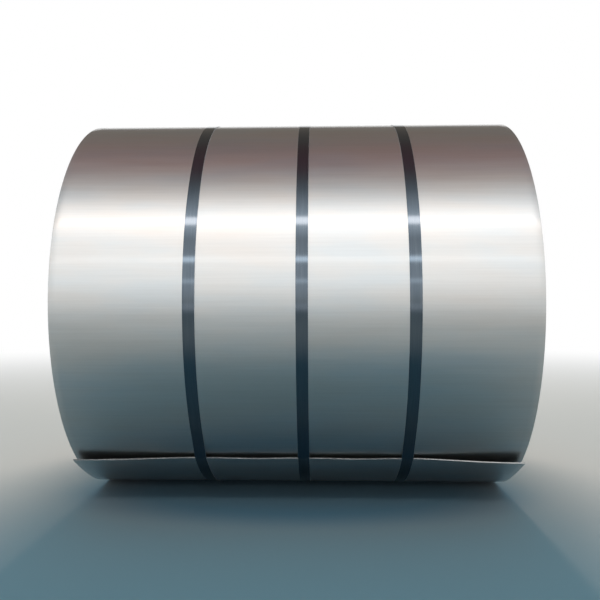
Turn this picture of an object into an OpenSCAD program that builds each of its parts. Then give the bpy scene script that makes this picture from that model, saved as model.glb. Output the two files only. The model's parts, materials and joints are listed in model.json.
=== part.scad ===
// Steel coil: galvanised strip wound up on a bore, its tail held down by three steel straps.
// The bore runs along X, the coil lies on Z = 0, and the tail ends at the front, towards -Y.

/* [Strip] */
// Width of the strip, which is the length of the coil
strip_width = 1250; // [900:10:1600]
// Thickness of the strip
strip_gauge = 3; // [1.5:0.1:5]
// Outside diameter of the coil
coil_d = 1150; // [900:10:1500]
// Diameter of the bore, which a mandrel or hook enters
bore_d = 508; // [450:1:650]

/* [Ends] */
// Wraps in each of the rings that show on the ends
ring_wraps = 4; // [2:1:8]
// How far the rings wander along the bore, to either side
ring_wander = 0.8; // [0.1:0.1:2]
// Bevel along both edges of each ring
ring_bevel = 0.8; // [0.2:0.1:1.4]

/* [Inner end] */
// Angle of the strip's inner end, from the front of the bore round by its bottom
head_angle = 150; // [0:5:355]
// Length over which the next wrap comes down beside the inner end
head_length = 240; // [120:10:300]

/* [Tail] */
// Angle of the tail's cut edge below the front of the coil
tail_angle = 47.9; // [30:0.1:60]
// Length of strip that springs off the coil
tail_length = 170; // [140:5:240]
// Gap under the cut edge where a strap holds it
strap_gap = 7; // [2:0.5:12]
// Gap under the cut edge midway between two straps
span_gap = 9; // [2:0.5:14]
// Gap under the left corner of the cut edge
left_gap = 15.5; // [8:0.5:24]
// Gap under the right corner of the cut edge
right_gap = 18.5; // [8:0.5:24]

/* [Straps] */
// Width of the strapping
strap_width = 32; // [19:1:38]
// Thickness of the strapping
strap_gauge = 0.9; // [0.6:0.1:1.3]
// Distance from one strap to the next
strap_pitch = 286; // [150:1:380]
// Shift of the middle strap to the right of the coil's middle
strap_shift = 18.5; // [-30:0.5:30]
// Length of strap that lies double at its joint
strap_lap = 170; // [100:5:260]

/* [Seals] */
// Angle of the seals, from the front of the coil over its top
seal_angle = 105; // [98:1:112]
// Length of each seal along its strap
seal_length = 57; // [40:1:80]
// Thickness of the seals' steel
seal_gauge = 1.2; // [0.8:0.1:2]
// Radius of the crimp notches in the seals' sides
crimp_r = 3; // [2:0.5:5]

/* [Fits] */
// Clearance under the tail where it rests on the wrap below
tail_fit = 0.1; // [0.1:0.05:0.2]
// Clearance between the straps and what they lie on
strap_fit = 0.2; // [0.1:0.05:0.4]
// Clearance between the seals and their straps
seal_fit = 0.15; // [0.05:0.05:0.3]

/* [Hidden] */
$fn = 256;

strip_half = strip_width / 2;
coil_r = coil_d / 2;
bore_r = bore_d / 2;

// The outside is a two-centre spiral: each half turn is an arc about a centre that lies to one
// side of the bore's axis, so the radius falls by one strip thickness over each full turn.
turn_shift = strip_gauge / 4;
last_r = coil_r - turn_shift;
before_r = coil_r - 3 * turn_shift;
under_r = coil_r - 5 * turn_shift;
core_r = coil_r - 2 * strip_gauge;

// The rings that show on the ends fill the wall from the bore out to the last turns.
ring_count = floor((core_r - bore_r) / (ring_wraps * strip_gauge));
ring_pitch = (core_r - bore_r) / ring_count;
wander_angle = 140;

// Beside the strip's inner end the bore is cut by a circle that is deepest at the end's edge.
head_fade = degrees(head_length / bore_r);
head_shift = strip_gauge * (bore_d + strip_gauge) / 2
    / (bore_r * (1 - cos(head_fade)) + strip_gauge);
head_r = bore_r + strip_gauge - head_shift;

// The tail rests at this radius and leaves it at the root, one tail length before the cut edge.
wrap_r = under_r + tail_fit;
root_angle = degrees(tail_length / wrap_r);
root_bite = 4;
tail_half = strip_half - tail_fit;
span_steps = 8;
corner_steps = 10;
tail_steps = 10;

strap_step = 2;
strap_half = strap_width / 2;
strap_x = [for (i = [-1:1]) strap_shift + i * strap_pitch];
strap_r = last_r + tail_fit + strap_fit;
strap_before_r = before_r + tail_fit + strap_fit;

// Where each strap leaves the tail's edge, and where it comes down on the turn beyond it.
strap_bend = bend(strap_gap);
edge_angle = root_angle - degrees(tail_length * strap_bend);
edge_point = tail_point(strap_bend, tail_length, strip_gauge);
edge_from_before = edge_point + [turn_shift, 0];
edge_reach = norm(edge_from_before);
land_turn = acos((strap_before_r - strap_fit) / edge_reach);
land_angle = atan2(edge_from_before[1], edge_from_before[0]) - land_turn;

seal_turn = 360 - tail_angle - seal_angle;
seal_arc = degrees(seal_length / before_r);
lap_arc = degrees(strap_lap / before_r);

// The lowest strap surface touches Z = 0.
axis_height = turn_shift * sin(tail_angle) + strap_r + strap_gauge;

function degrees(radians) = radians * 180 / PI;
function along(angle) = [cos(angle), sin(angle)];
function steps(from, to, n) = [for (i = [0:n - 1]) from + (to - from) * i / n];

// Curvature of the tail that opens the given gap at its cut edge. It is never quite zero.
function bend(gap) =
    let (k = 1 / wrap_r - 2 * gap / pow(tail_length, 2))
    abs(k) < 1e-7 ? 1e-7 : k;

// Point of the tail's section: s along it from the root, raised by depth off its inner side.
function tail_point(k, s, depth) =
    let (turn = degrees(k * s), out = along(root_angle), on = along(root_angle - 90))
    [turn_shift, 0] + out * (wrap_r - (1 - cos(turn)) / k) + on * sin(turn) / k
        + (out * cos(turn) + on * sin(turn)) * depth;

// Gap under the cut edge at x: flat under a strap, a low arch between two, open at the corners.
function corner_rise(share) = pow(sin(90 * share), 1.4);
function corner_gap(gap, reach, room) = strap_gap + (gap - strap_gap) * corner_rise(reach / room);
function span_arch(share) = strap_gap + (span_gap - strap_gap) * pow(sin(180 * share), 2);
function edge_gap(x) =
    let (left = strap_x[0] - strap_half, right = strap_x[2] + strap_half,
         clear = strap_pitch - strap_width,
         past = [for (c = [strap_x[0], strap_x[1]]) (x - c - strap_half) / clear])
    x < left ? corner_gap(left_gap, left - x, left + strip_half) :
    x > right ? corner_gap(right_gap, x - right, strip_half - right) :
    past[0] > 0 && past[0] < 1 ? span_arch(past[0]) :
    past[1] > 0 && past[1] < 1 ? span_arch(past[1]) : strap_gap;

// Places the coil's own frame, with the bore along Z and the cut edge along X, in the part's frame.
module laid() {
    translate([0, 0, axis_height]) rotate([90, 0, 90]) rotate([0, 0, 180 + tail_angle]) children();
}

// How far ring i stands out at an end, 1 for the right and -1 for the left. The strip is as wide
// in every ring, so a ring that is sunk at one end stands proud at the other.
function ring_level(i, end) = strip_half + end * ring_wander * cos(wander_angle * i);

// Outline of an end of the wall, from the bore outwards, with a groove where two rings meet.
function end_outline(end) = [
    [bore_r, end * ring_level(0, end)],
    for (i = [0:ring_count - 1])
        let (inner = bore_r + i * ring_pitch, level = ring_level(i, end),
             next = ring_level(min(i + 1, ring_count - 1), end))
        each [
            if (i > 0) [inner + ring_bevel, end * level],
            [inner + ring_pitch - ring_bevel, end * level],
            [inner + ring_pitch, end * (min(level, next) - ring_bevel)]
        ]
];

module wound_wall() {
    left = end_outline(-1);
    rotate_extrude() polygon(concat(end_outline(1), [for (i = [len(left) - 1:-1:0]) left[i]]));
}

// Half of a disc about a centre that is shifted along X: the half towards +Y for side 1.
module half_disc(r, shift, side) {
    intersection() {
        translate([shift, 0]) circle(r);
        translate([-coil_d, side > 0 ? 0 : -coil_d]) square([2 * coil_d, coil_d]);
    }
}

// What the bore lacks beside the strip's inner end: a step as deep as the strip, running out
// round the bore to where the next wrap has come down.
module head_step() {
    linear_extrude(height = 2 * strip_width, center = true)
        rotate(head_angle - tail_angle) half_disc(head_r, head_shift, 1);
}

// The last turns, as half turns of the spiral. The outermost stops inside the tail's root.
module last_turns() {
    stop_angle = root_angle + degrees(root_bite / wrap_r) / 2;
    linear_extrude(height = strip_width, center = true) difference() {
        union() {
            half_disc(before_r, -turn_shift, -1);
            half_disc(under_r, turn_shift, 1);
            difference() {
                half_disc(last_r, turn_shift, 1);
                translate([turn_shift, 0])
                    polygon([[0, 0], [coil_d, -coil_d], coil_d * along(stop_angle)]);
            }
        }
        circle(core_r - strip_gauge);
    }
}

// The tail as a bent sheet: stations along the coil, and steps from inside the root to the edge.
module tail() {
    stations = concat(
        steps(-tail_half, strap_x[0] - strap_half, corner_steps),
        steps(strap_x[0] - strap_half, strap_x[0] + strap_half, 1),
        steps(strap_x[0] + strap_half, strap_x[1] - strap_half, span_steps),
        steps(strap_x[1] - strap_half, strap_x[1] + strap_half, 1),
        steps(strap_x[1] + strap_half, strap_x[2] - strap_half, span_steps),
        steps(strap_x[2] - strap_half, strap_x[2] + strap_half, 1),
        steps(strap_x[2] + strap_half, tail_half, corner_steps), [tail_half]);
    rows = concat([-root_bite], steps(0, tail_length, tail_steps), [tail_length]);
    columns = len(stations);
    points = [
        for (depth = [0, strip_gauge], s = rows, x = stations)
            let (p = tail_point(s < 0 ? 1 / wrap_r : bend(edge_gap(x)), s, depth)) [p[0], p[1], x]
    ];
    top = len(rows) * columns;
    end = (len(rows) - 1) * columns;
    faces = concat(
        [for (j = [0:len(rows) - 2], i = [0:columns - 2]) let (a = j * columns + i)
            each [[a, a + 1, a + columns], [a + 1, a + columns + 1, a + columns],
                  [top + a, top + a + columns, top + a + 1],
                  [top + a + 1, top + a + columns, top + a + columns + 1]]],
        [for (i = [0:columns - 2])
            each [[i, top + i, i + 1], [i + 1, top + i, top + i + 1],
                  [end + i, end + i + 1, top + end + i],
                  [end + i + 1, top + end + i + 1, top + end + i]]],
        [for (j = [0:len(rows) - 2]) let (a = j * columns, b = a + columns - 1)
            each [[a, a + columns, top + a], [a + columns, top + a + columns, top + a],
                  [b, top + b, b + columns], [b + columns, top + b, top + b + columns]]]);
    polyhedron(points, faces);
}

// The strip as it lies: one wound solid with its bore, and the tail standing off it.
module coil() {
    color("gainsboro") laid() {
        difference() {
            wound_wall();
            head_step();
        }
        last_turns();
        tail();
    }
}

// Side of a strap, lifted off its inner side, and lifted again where the strap lies double. It runs
// from the bend over the cut edge along the tail and round the coil, and closes down to the edge.
function strap_side(lift, lap) = concat(
    [edge_point + along((edge_angle + land_angle) / 2)
        * (strap_fit + lift) / cos((edge_angle - land_angle) / 2)],
    [for (i = [tail_steps - 1:-1:1])
        tail_point(strap_bend, tail_length * i / tail_steps, strip_gauge + strap_fit + lift)],
    strap_arc(root_angle, seal_turn - lap_arc / 2, lift),
    strap_arc(seal_turn - lap_arc / 2, seal_turn + lap_arc / 2, lift + lap),
    strap_arc(seal_turn + lap_arc / 2, 360 + land_angle, lift));

function strap_arc(from, to, lift) =
    let (n = ceil((to - from) / strap_step))
    [for (i = [0:n]) let (angle = from + (to - from) * i / n, second = angle > 180)
        [second ? -turn_shift : turn_shift, 0]
            + along(angle) * ((second ? strap_before_r : strap_r) + lift)];

// A taut band round the coil at x: over the last turn, along the tail, bent over its cut edge,
// straight down to the turn beyond, and round to its joint, where its ends lie one on the other.
module strap(x) {
    color("slategray") laid() translate([0, 0, x - strap_half]) linear_extrude(height = strap_width)
        difference() {
            polygon(strap_side(strap_gauge, strap_gauge));
            polygon(strap_side(0, 0));
        }
}

// A crimped sleeve over the doubled strap at x, notched twice on each side.
module seal(x) {
    side = strap_half + seal_fit + seal_gauge;
    roof = strap_before_r + 2 * strap_gauge + seal_fit;
    color("dimgray") laid() translate([-turn_shift, 0, x]) difference() {
        rotate([0, 0, seal_turn - seal_arc / 2]) rotate_extrude(angle = seal_arc)
            polygon([[strap_before_r, -side], [roof + seal_gauge, -side], [roof + seal_gauge, side],
                     [strap_before_r, side], [strap_before_r, side - seal_gauge],
                     [roof, side - seal_gauge], [roof, seal_gauge - side],
                     [strap_before_r, seal_gauge - side]]);
        for (share = [-1, 1] / 4, end = [-1, 1])
            rotate([0, 0, seal_turn + share * seal_arc]) translate([before_r, 0, end * side])
                rotate([0, 90, 0]) cylinder(r = crimp_r, h = 10 * seal_gauge);
    }
}

coil();
strap(strap_x[0]);  // strap_left
strap(strap_x[1]);  // strap_middle
strap(strap_x[2]);  // strap_right
seal(strap_x[0]);  // seal_left
seal(strap_x[1]);  // seal_middle
seal(strap_x[2]);  // seal_right
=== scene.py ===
"""Looks of a strapped coil of galvanised steel strip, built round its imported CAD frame."""

import json
import math
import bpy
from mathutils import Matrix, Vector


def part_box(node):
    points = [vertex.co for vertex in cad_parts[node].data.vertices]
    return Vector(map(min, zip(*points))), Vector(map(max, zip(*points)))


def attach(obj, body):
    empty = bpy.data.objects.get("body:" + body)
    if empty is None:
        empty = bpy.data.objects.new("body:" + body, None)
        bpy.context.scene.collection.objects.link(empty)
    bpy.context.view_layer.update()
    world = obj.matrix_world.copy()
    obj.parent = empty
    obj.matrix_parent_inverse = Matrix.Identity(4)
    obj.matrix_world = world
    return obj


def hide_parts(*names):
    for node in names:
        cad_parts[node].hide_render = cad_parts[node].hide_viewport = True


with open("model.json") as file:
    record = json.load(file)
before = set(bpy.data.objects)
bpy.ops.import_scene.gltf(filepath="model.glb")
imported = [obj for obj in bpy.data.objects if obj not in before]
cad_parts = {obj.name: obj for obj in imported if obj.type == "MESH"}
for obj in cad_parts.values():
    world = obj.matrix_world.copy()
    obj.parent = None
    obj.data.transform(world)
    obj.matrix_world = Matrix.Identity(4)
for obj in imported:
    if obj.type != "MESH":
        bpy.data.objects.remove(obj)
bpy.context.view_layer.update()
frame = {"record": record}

from types import SimpleNamespace

import bmesh
import bpy
import numpy as np
from bpy.props import FloatProperty, FloatVectorProperty, IntProperty, PointerProperty

bl_info = {
    "name": "Steel coil",
    "version": (1, 0, 0),
    "blender": (4, 5, 0),
    "location": "3D View > Sidebar > Steel coil",
    "description": "Winds a strapped coil of galvanised strip round its CAD frame",
    "category": "Object",
}

MM = 0.001
MOUNTS = {mount["name"]: mount for mount in frame["record"]["mounts"]}
BORE = MOUNTS["core_bore"]
STRAP_NODES = ("strap_left", "strap_middle", "strap_right")
SEAL_NODES = ("seal_left", "seal_middle", "seal_right")


# Sizes and colours


def linear(hex_colour):
    """An sRGB hex value as a linear colour with full alpha."""
    parts = [int(hex_colour[i : i + 2], 16) / 255 for i in (0, 2, 4)]
    flat = [c / 12.92 if c <= 0.04045 else ((c + 0.055) / 1.055) ** 2.4 for c in parts]
    return (*flat, 1.0)


def tint(name, description, hex_colour):
    """A colour property that is written as its sRGB hex value."""
    return FloatVectorProperty(
        name=name,
        description=description,
        default=linear(hex_colour),
        size=4,
        min=0.0,
        max=1.0,
        subtype="COLOR",
    )


class StripSizes(bpy.types.PropertyGroup):
    """The wound strip, its tail and its inner end"""

    width: FloatProperty(
        name="Strip width",
        description="Width of the strip, which is the coil's length",
        default=BORE["dims"]["length_mm"] * MM,
        unit="LENGTH",
    )
    gauge: FloatProperty(
        name="Strip gauge", description="Thickness of the strip", default=3 * MM, unit="LENGTH"
    )
    coil_d: FloatProperty(
        name="Coil diameter", description="Across the outermost turn", default=1150 * MM, unit="LENGTH"
    )
    bore_r: FloatProperty(
        name="Bore radius",
        description="Radius of the open bore",
        default=BORE["dims"]["r_mm"] * MM,
        unit="LENGTH",
    )
    axis_z: FloatProperty(
        name="Axis height", description="Height of the coil's axis", default=BORE["pos_m"][2], unit="LENGTH"
    )
    tail_angle: FloatProperty(
        name="Tail angle",
        description="Where the tail's cut edge lies, below the front of the coil",
        default=math.radians(47.9),
        subtype="ANGLE",
    )
    tail_length: FloatProperty(
        name="Tail length", description="Length of strip that springs free", default=170 * MM, unit="LENGTH"
    )
    tail_fit: FloatProperty(
        name="Tail fit", description="Room under the tail at its root", default=0.1 * MM, unit="LENGTH"
    )
    tail_round: FloatProperty(
        name="Tail round", description="Rounding of the last turn's edges", default=0.3 * MM, unit="LENGTH"
    )
    strap_gap: FloatProperty(
        name="Gap under straps", description="Gap under the tail at a strap", default=7 * MM, unit="LENGTH"
    )
    span_gap: FloatProperty(
        name="Gap between straps", description="Gap midway between straps", default=9 * MM, unit="LENGTH"
    )
    left_gap: FloatProperty(
        name="Left gap", description="Gap at the tail's left corner", default=15.5 * MM, unit="LENGTH"
    )
    right_gap: FloatProperty(
        name="Right gap", description="Gap at the tail's right corner", default=18.5 * MM, unit="LENGTH"
    )
    head_angle: FloatProperty(
        name="Inner end angle",
        description="Where the strip's inner end lies in the bore",
        default=math.radians(150),
        subtype="ANGLE",
    )
    head_length: FloatProperty(
        name="Inner end run",
        description="Arc over which the next turn comes down beside the inner end",
        default=240 * MM,
        unit="LENGTH",
    )
    head_turns: FloatProperty(
        name="Inner end turns",
        description="Turns over which the climb beside the inner end spreads out",
        default=24.0,
    )
    end_depth: FloatProperty(
        name="End depth", description="How far in the end turns reach", default=5 * MM, unit="LENGTH"
    )
    wander: FloatProperty(
        name="Edge wander",
        description="How far a turn stands proud or shy",
        default=0.8 * MM,
        unit="LENGTH",
    )
    wander_rate: FloatProperty(
        name="Wander rate", description="How much the wander changes with each turn", default=0.42
    )
    seed: FloatProperty(name="Wander seed", description="Fixed seed of the edges' wander", default=4.7)
    edge_round: FloatProperty(
        name="Edge round", description="Rounding of the slit edges", default=0.35 * MM, unit="LENGTH"
    )
    turn_points: IntProperty(
        name="Points a turn", description="Points of each wound turn on the ends", default=84, min=24
    )


class StrapSizes(bpy.types.PropertyGroup):
    """The straps and their seals"""

    width: FloatProperty(
        name="Strap width", description="Width of a strap", default=32 * MM, unit="LENGTH"
    )
    gauge: FloatProperty(
        name="Strap gauge", description="Thickness of a strap", default=0.9 * MM, unit="LENGTH"
    )
    slack: FloatProperty(
        name="Strap stand-off", description="Room under a strap", default=0.3 * MM, unit="LENGTH"
    )
    lap: FloatProperty(
        name="Strap lap", description="Length where a strap lies double", default=170 * MM, unit="LENGTH"
    )
    lap_room: FloatProperty(
        name="Lap room", description="Room between a strap's ends", default=0.04 * MM, unit="LENGTH"
    )
    edge_round: FloatProperty(
        name="Strap round", description="Rounding of a strap's edges", default=0.3 * MM, unit="LENGTH"
    )
    seal_angle: FloatProperty(
        name="Seal angle",
        description="Where the seals lie, over the top from the front",
        default=math.radians(105),
        subtype="ANGLE",
    )
    seal_length: FloatProperty(
        name="Seal length", description="Length of a seal", default=57 * MM, unit="LENGTH"
    )
    seal_gauge: FloatProperty(
        name="Seal gauge", description="Thickness of a seal's sheet", default=1.2 * MM, unit="LENGTH"
    )
    seal_bend: FloatProperty(
        name="Seal bend", description="Inner radius of a seal's folds", default=0.5 * MM, unit="LENGTH"
    )
    crimp: FloatProperty(
        name="Crimp depth", description="How deep a crimp notches the sides", default=3 * MM, unit="LENGTH"
    )
    crimp_run: FloatProperty(
        name="Crimp run", description="Half a crimp's length along a strap", default=3.4 * MM, unit="LENGTH"
    )


class Finishes(bpy.types.PropertyGroup):
    """Colours of the coil and the floor"""

    zinc: tint("Zinc", "The strip's zinc face", "C8C9C8")
    zinc_cool: tint("Cool zinc", "Cooler clouds in the zinc", "C3C8CA")
    zinc_warm: tint("Warm zinc", "Warmer clouds in the zinc", "C9C7C4")
    # Painted shade: the inner face is dark so that the gap under the tail is deep; oil blotches lie on it.
    oil_and_painted_shade: tint("Oiled zinc in painted shade", "The strip's inner face, painted dark as shade, with oil", "4A5157")
    slit: tint("Slit edge", "The strip's slit edges on the ends", "A9A7A3")
    # Painted light and shade on the tail's cut edge: darker to the left, brighter to the right.
    slit_dull: tint("Dull slit edge", "Turns whose slit edge has dulled", "6E6A66")
    sheared_and_lit: tint("Sheared edge", "The tail's bare cut edge, and its painted light to the right", "A2A5A6")
    torn_and_shaded: tint("Torn, shaded edge", "The tail's cut edge in its tears and in painted shade to the left", "484B4D")
    blued: tint("Blued steel", "The straps' dark face", "5B6670")
    # Painted highlight: a thin bright line along the straps' edges, given as bare metal.
    bare_edge_highlight: tint("Bare edge and painted highlight", "Bare metal along the straps' edges, a painted highlight", "D5DADD")
    seal: tint("Seal", "The seals' dark face", "4E545B")
    floor: tint("Floor", "The floor round the coil", "BCBEBE")
    # Painted shade: the floor's paint close under the front of the coil, darker and cooler.
    floor_painted_shade: tint("Painted shade on the floor", "Painted shade on the floor close under the front of the coil", "7CA0B2")
    backdrop: tint("Backdrop", "What the floor fades to", "FFFFFF")
    flank: tint("Flank", "The sides of the light tent, high up", "A2AAAE")


class StageSizes(bpy.types.PropertyGroup):
    """Camera, floor and lamp"""

    eye: FloatVectorProperty(
        name="Camera", description="Place of the camera", default=(0.0641, -2.2716, 0.560), subtype="XYZ"
    )
    pitch: FloatProperty(
        name="Pitch", description="Camera's tilt upwards", default=0.0114, subtype="ANGLE"
    )
    yaw: FloatProperty(
        name="Yaw", description="Camera's turn to the left", default=0.0293, subtype="ANGLE"
    )
    roll: FloatProperty(name="Roll", description="Camera's roll", default=0.0015, subtype="ANGLE")
    lens: FloatProperty(name="Lens", description="Focal length", default=40.73, unit="CAMERA")
    floor_half: FloatProperty(
        name="Floor half side", description="Half the floor's side", default=60.0, unit="LENGTH"
    )
    fade_front: FloatProperty(
        name="Fade centre", description="How far in front the fade is centred", default=1.5, unit="LENGTH"
    )
    fade_from: FloatProperty(
        name="Fade start", description="How far off the floor starts to fade", default=2.6, unit="LENGTH"
    )
    fade_to: FloatProperty(
        name="Fade end", description="How far off the floor is white", default=9.0, unit="LENGTH"
    )
    # Place and half size of the painted shade on the floor under the coil's front.
    painted_shade_middle: FloatVectorProperty(
        name="Foot shade",
        description="Middle of the shade at the foot",
        default=(0.0, -0.2, 0.0),
        subtype="XYZ",
    )
    painted_shade_half: FloatVectorProperty(
        name="Foot shade size",
        description="Half the size of the shade at the foot",
        default=(0.78, 0.38, 1.0),
        subtype="XYZ",
    )
    lamp: FloatVectorProperty(
        name="Lamp", description="Place of the lamp behind", default=(0.05, 2.4, 3.6), subtype="XYZ"
    )
    lamp_power: FloatProperty(
        name="Lamp power", description="Power of the lamp behind", default=40.0, unit="POWER"
    )
    lamp_tint: FloatVectorProperty(
        name="Lamp tint", description="Tint of the lamp behind", default=(1.0, 0.8, 0.65), subtype="COLOR"
    )
    lamp_radius: FloatProperty(
        name="Lamp radius", description="Radius of the lamp behind", default=0.9, unit="LENGTH"
    )


class SteelCoil(bpy.types.PropertyGroup):
    """Everything the coil is made from"""

    strip: PointerProperty(type=StripSizes, name="Strip", description="Sizes of the strip")
    strap: PointerProperty(type=StrapSizes, name="Straps", description="Sizes of the straps and seals")
    finishes: PointerProperty(type=Finishes, name="Finishes", description="Colours")
    stage: PointerProperty(type=StageSizes, name="Stage", description="Camera, floor and lamp")


# Small helpers


def add(tree, kind, inputs=None, ramp=(), **settings):
    """Adds a node with its settings and ramp, and sets its inputs or links them to nodes or sockets."""
    node = tree.nodes.new(kind)
    for key, value in settings.items():
        setattr(node, key, value)
    if ramp:
        elements = node.color_ramp.elements
        elements.remove(elements[1])
        elements[0].position, elements[0].color = ramp[0]
        for position, colour in ramp[1:]:
            elements.new(position).color = colour
    for key, value in (inputs or {}).items():
        source = value.outputs[0] if isinstance(value, bpy.types.Node) else value
        if isinstance(source, bpy.types.NodeSocket):
            tree.links.new(source, node.inputs[key])
        else:
            node.inputs[key].default_value = source
    return node


def along(angle):
    """Unit vectors at angles in the coil's own plane."""
    return np.stack([np.cos(angle), np.sin(angle)], axis=-1)


def smooth(share):
    """Smooth step from 0 to 1."""
    share = np.clip(share, 0.0, 1.0)
    return share * share * (3 - 2 * share)


def middle_of(node):
    """Middle of a CAD node along the coil's axis."""
    low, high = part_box(node)
    return (low[0] + high[0]) / 2


def grid_quads(grid, flip=False):
    """Quads over a grid of point numbers."""
    a, b, c, d = grid[:-1, :-1], grid[1:, :-1], grid[1:, 1:], grid[:-1, 1:]
    order = (a, d, c, b) if flip else (a, b, c, d)
    return np.stack([part.ravel() for part in order], axis=-1)


def make_mesh(name, points, faces, materials, finish=None):
    """A mesh from points in metres and faces, with each face's finish as a number in its materials."""
    mesh = bpy.data.meshes.new(name)
    mesh.from_pydata(np.asarray(points).tolist(), [], [tuple(int(i) for i in face) for face in faces])
    for material in materials:
        mesh.materials.append(material)
    if finish is not None:
        mesh.polygons.foreach_set("material_index", np.asarray(finish, dtype=np.int32))
    return mesh


def make_piece(name, mesh, sharp, rounding=0.0):
    """A piece on the one body, its faces outwards, its square edges rounded, smooth up to an angle."""
    mesh.validate()
    work = bmesh.new()
    work.from_mesh(mesh)
    if rounding:
        same_spot = 1e-7
        bmesh.ops.remove_doubles(work, verts=work.verts, dist=same_spot)
    bmesh.ops.recalc_face_normals(work, faces=work.faces)
    if rounding:
        square = math.radians(60)
        edges = [e for e in work.edges if e.is_manifold and e.calc_face_angle(0.0) > square]
        bmesh.ops.bevel(work, geom=edges, offset=rounding, segments=2, profile=0.5, affect="EDGES")
    work.to_mesh(mesh)
    work.free()
    mesh.polygons.foreach_set("use_smooth", np.ones(len(mesh.polygons), dtype=bool))
    mesh.set_sharp_from_angle(angle=sharp)
    mesh.update()
    piece = bpy.data.objects.new(name, mesh)
    bpy.context.scene.collection.objects.link(piece)
    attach(piece, "root")
    return piece


# The coil's own plane

# How far the strip goes on under the tail, past the tail's root.
UNDER_RUN = math.radians(10)


def windings(strip, strap):
    """The spiral's radii and angles, worked out from the sizes as the CAD model works them out."""
    w = SimpleNamespace()
    w.gauge = strip.gauge
    w.half = strip.width / 2
    w.shift = w.gauge / 4
    w.last_r = strip.coil_d / 2 - w.shift
    w.before_r = w.last_r - w.gauge / 2
    w.under_r = w.last_r - w.gauge
    w.wrap_r = w.under_r + strip.tail_fit
    w.length = strip.tail_length
    w.root = w.length / w.wrap_r
    w.tilt = math.pi + strip.tail_angle
    w.axis_z = strip.axis_z
    w.seal_turn = 2 * math.pi - strip.tail_angle - strap.seal_angle
    w.head = strip.head_angle - strip.tail_angle
    w.head_fade = strip.head_length / strip.bore_r
    w.under_end = w.root + UNDER_RUN
    return w


def placed(w, plane, x):
    """Points of the coil's own plane, at places along its axis, in the part's frame."""
    plane = np.asarray(plane)
    c, s = math.cos(w.tilt), math.sin(w.tilt)
    y = plane[..., 0] * c - plane[..., 1] * s
    z = plane[..., 0] * s + plane[..., 1] * c + w.axis_z
    return np.stack([np.broadcast_to(x, y.shape), y, z], axis=-1)


def tail_bend(w, gap):
    """Curvature of the tail that opens to a gap at its end."""
    return 1 / w.wrap_r - 2 * gap / w.length**2


def tail_point(w, bend, s, depth):
    """Point of the tail and the way out there, by its distance from the root and its depth in the strip."""
    turn = bend * s
    out = along(np.array(w.root))
    on = along(np.array(w.root - math.pi / 2))
    height = w.wrap_r - (1 - np.cos(turn)) / bend
    reach = np.sin(turn) / bend
    rise = np.cos(turn)[..., None] * out + np.sin(turn)[..., None] * on
    inner = np.array([w.shift, 0.0]) + height[..., None] * out + reach[..., None] * on
    return inner + depth * rise, rise


def tail_gaps(strip, strap, xs):
    """Gap under the tail's end along the coil: low under straps, arched between, sprung at the corners."""
    half = strip.width / 2
    middles = [middle_of(node) for node in STRAP_NODES]
    edges = [(x - strap.width / 2, x + strap.width / 2) for x in middles]
    curl = 1.4
    gaps = np.full(xs.shape, strip.strap_gap)
    left = (edges[0][0] - xs) / (edges[0][0] + half)
    right = (xs - edges[-1][1]) / (half - edges[-1][1])
    for share, gap in ((left, strip.left_gap), (right, strip.right_gap)):
        free = np.clip(share, 0.0, 1.0)
        gaps += (gap - strip.strap_gap) * np.sin(free * math.pi / 2) ** curl
    for here, there in zip(edges[:-1], edges[1:]):
        share = np.clip((xs - here[1]) / (there[0] - here[1]), 0.0, 1.0)
        gaps += (strip.span_gap - strip.strap_gap) * np.sin(math.pi * share) ** 2
    return gaps


# The strip

# The finishes of the strip's faces, in the order of its materials.
FACE, CUT, SIDE, INNER = range(4)
# Points across the strip and along its tail, and round and along its bore.
ACROSS_POINTS = 61
TAIL_ROWS = 30
BORE_POINTS = 241
BORE_RINGS = 26
# The arc past the root over which the room under the tail closes.
TAIL_FIT_RUN = math.radians(20)
# How far the wound body lies behind the edge that is most shy.
BODY_INSET = 0.6 * MM
# Values of the noise at which an edge is fully shy and fully proud.
SHY, PROUD = 0.115, 0.885
# Faces that meet at more than these angles keep a sharp edge between them.
STRIP_SHARP = math.radians(40)
TURNS_SHARP = math.radians(60)
SWEPT_SHARP = math.radians(50)


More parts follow.
